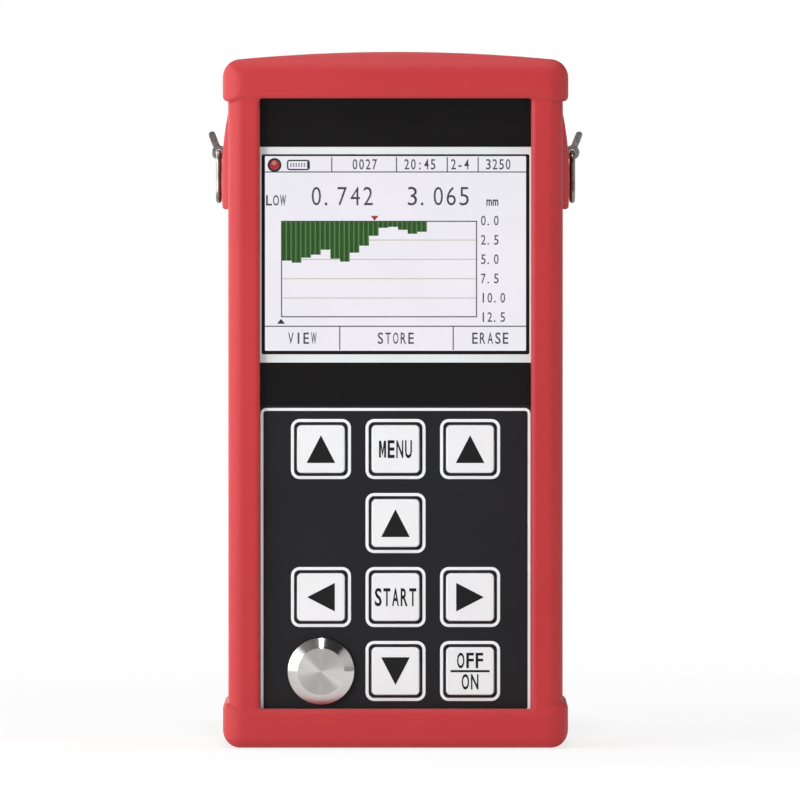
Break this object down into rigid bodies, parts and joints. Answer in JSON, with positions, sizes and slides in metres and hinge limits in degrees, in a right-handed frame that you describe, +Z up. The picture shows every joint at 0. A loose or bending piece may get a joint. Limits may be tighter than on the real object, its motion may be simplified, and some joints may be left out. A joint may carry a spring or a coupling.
{
  "type": "ultrasonic thickness gauge",
  "caption": "Hand-held ultrasonic thickness gauge: rubber boot, colour screen, square keys, steel calibration disc, probe sockets on top and a battery bay with a hinged door.",
  "frame": {"origin": "middle of the flat foot that the gauge stands on", "axes": "+Z up along the gauge, -Y out of the face that is read, +X to its reader's right"},
  "size_m": [0.0828, 0.037, 0.153],
  "materials": {
    "boot_rubber": "matte moulded rubber",
    "case_black": "fine moulded grain",
    "window_clear": "clear sheet with a black printed border",
    "panel_black": "matte printed sheet",
    "key_white": "satin",
    "steel": "turned and polished",
    "screw_steel": "plain",
    "display_glass": "lit screen",
    "display_tray": "pressed",
    "board_green": "solder resist",
    "silicone_grey": "matte",
    "seal_black": "matte",
    "nickel": "plated",
    "insulator": "matte",
    "cell_jacket": "printed jacket"
  },
  "bodies": {
    "gauge_body": {"protective_boot": "boot_rubber", "front_shell": "case_black", "rear_shell": "case_black", "case_seal": "seal_black", "case_screws": "screw_steel", "display_window": "window_clear", "display_gasket": "seal_black", "display_frame": "display_tray", "display_glass": "display_glass", "keypad_panel": "panel_black", "keypad_mat": "silicone_grey", "keypad_board": "board_green", "main_board": "board_green", "shield_can": "display_tray", "board_screws": "screw_steel", "calibration_disc": "steel", "probe_socket_left": "nickel", "probe_socket_right": "nickel", "socket_cores": "insulator", "socket_nuts": "nickel", "battery_cell_left": "cell_jacket", "battery_cell_right": "cell_jacket", "battery_springs": "nickel", "battery_contacts": "nickel", "strap_lug_left": "steel", "strap_lug_right": "steel"},
    "key_up_left": {"key_up_left": "key_white"},
    "key_menu": {"key_menu": "key_white"},
    "key_up_right": {"key_up_right": "key_white"},
    "key_up": {"key_up": "key_white"},
    "key_left": {"key_left": "key_white"},
    "key_enter": {"key_enter": "key_white"},
    "key_right": {"key_right": "key_white"},
    "key_down": {"key_down": "key_white"},
    "key_power": {"key_power": "key_white"},
    "battery_door": {"battery_door": "case_black"},
    "door_screw": {"door_screw": "screw_steel"},
    "strap_ring_left": {"strap_ring_left": "steel"},
    "strap_ring_right": {"strap_ring_right": "steel"}
  },
  "joints": [
    {"name": "key_up_left_press", "type": "slide", "parent": "gauge_body", "child": "key_up_left", "axis": [0, 1, 0], "range_m": [0, 0.0006], "stiffness_N_per_m": 400, "springref_m": -0.0005},
    {"name": "key_menu_press", "type": "slide", "parent": "gauge_body", "child": "key_menu", "axis": [0, 1, 0], "range_m": [0, 0.0006], "stiffness_N_per_m": 400, "springref_m": -0.0005},
    {"name": "key_up_right_press", "type": "slide", "parent": "gauge_body", "child": "key_up_right", "axis": [0, 1, 0], "range_m": [0, 0.0006], "stiffness_N_per_m": 400, "springref_m": -0.0005},
    {"name": "key_up_press", "type": "slide", "parent": "gauge_body", "child": "key_up", "axis": [0, 1, 0], "range_m": [0, 0.0006], "stiffness_N_per_m": 400, "springref_m": -0.0005},
    {"name": "key_left_press", "type": "slide", "parent": "gauge_body", "child": "key_left", "axis": [0, 1, 0], "range_m": [0, 0.0006], "stiffness_N_per_m": 400, "springref_m": -0.0005},
    {"name": "key_enter_press", "type": "slide", "parent": "gauge_body", "child": "key_enter", "axis": [0, 1, 0], "range_m": [0, 0.0006], "stiffness_N_per_m": 400, "springref_m": -0.0005},
    {"name": "key_right_press", "type": "slide", "parent": "gauge_body", "child": "key_right", "axis": [0, 1, 0], "range_m": [0, 0.0006], "stiffness_N_per_m": 400, "springref_m": -0.0005},
    {"name": "key_down_press", "type": "slide", "parent": "gauge_body", "child": "key_down", "axis": [0, 1, 0], "range_m": [0, 0.0006], "stiffness_N_per_m": 400, "springref_m": -0.0005},
    {"name": "key_power_press", "type": "slide", "parent": "gauge_body", "child": "key_power", "axis": [0, 1, 0], "range_m": [0, 0.0006], "stiffness_N_per_m": 400, "springref_m": -0.0005},
    {"name": "battery_door_hinge", "type": "hinge", "parent": "gauge_body", "child": "battery_door", "pos_m": [0, 0.01435, 0.015], "axis": [-1, 0, 0], "range_deg": [0, 90]},
    {"name": "door_screw_turn", "type": "hinge", "parent": "battery_door", "child": "door_screw", "pos_m": [0, 0.01435, 0.0771], "axis": [0, 1, 0], "continuous": true},
    {"name": "strap_ring_left_swing", "type": "hinge", "parent": "gauge_body", "child": "strap_ring_left", "pos_m": [-0.0391, 0.002, 0.1308], "axis": [0, 1, 0], "range_deg": [0, 110]},
    {"name": "strap_ring_right_swing", "type": "hinge", "parent": "gauge_body", "child": "strap_ring_right", "pos_m": [0.0391, 0.002, 0.1308], "axis": [0, -1, 0], "range_deg": [0, 110]}
  ]
}
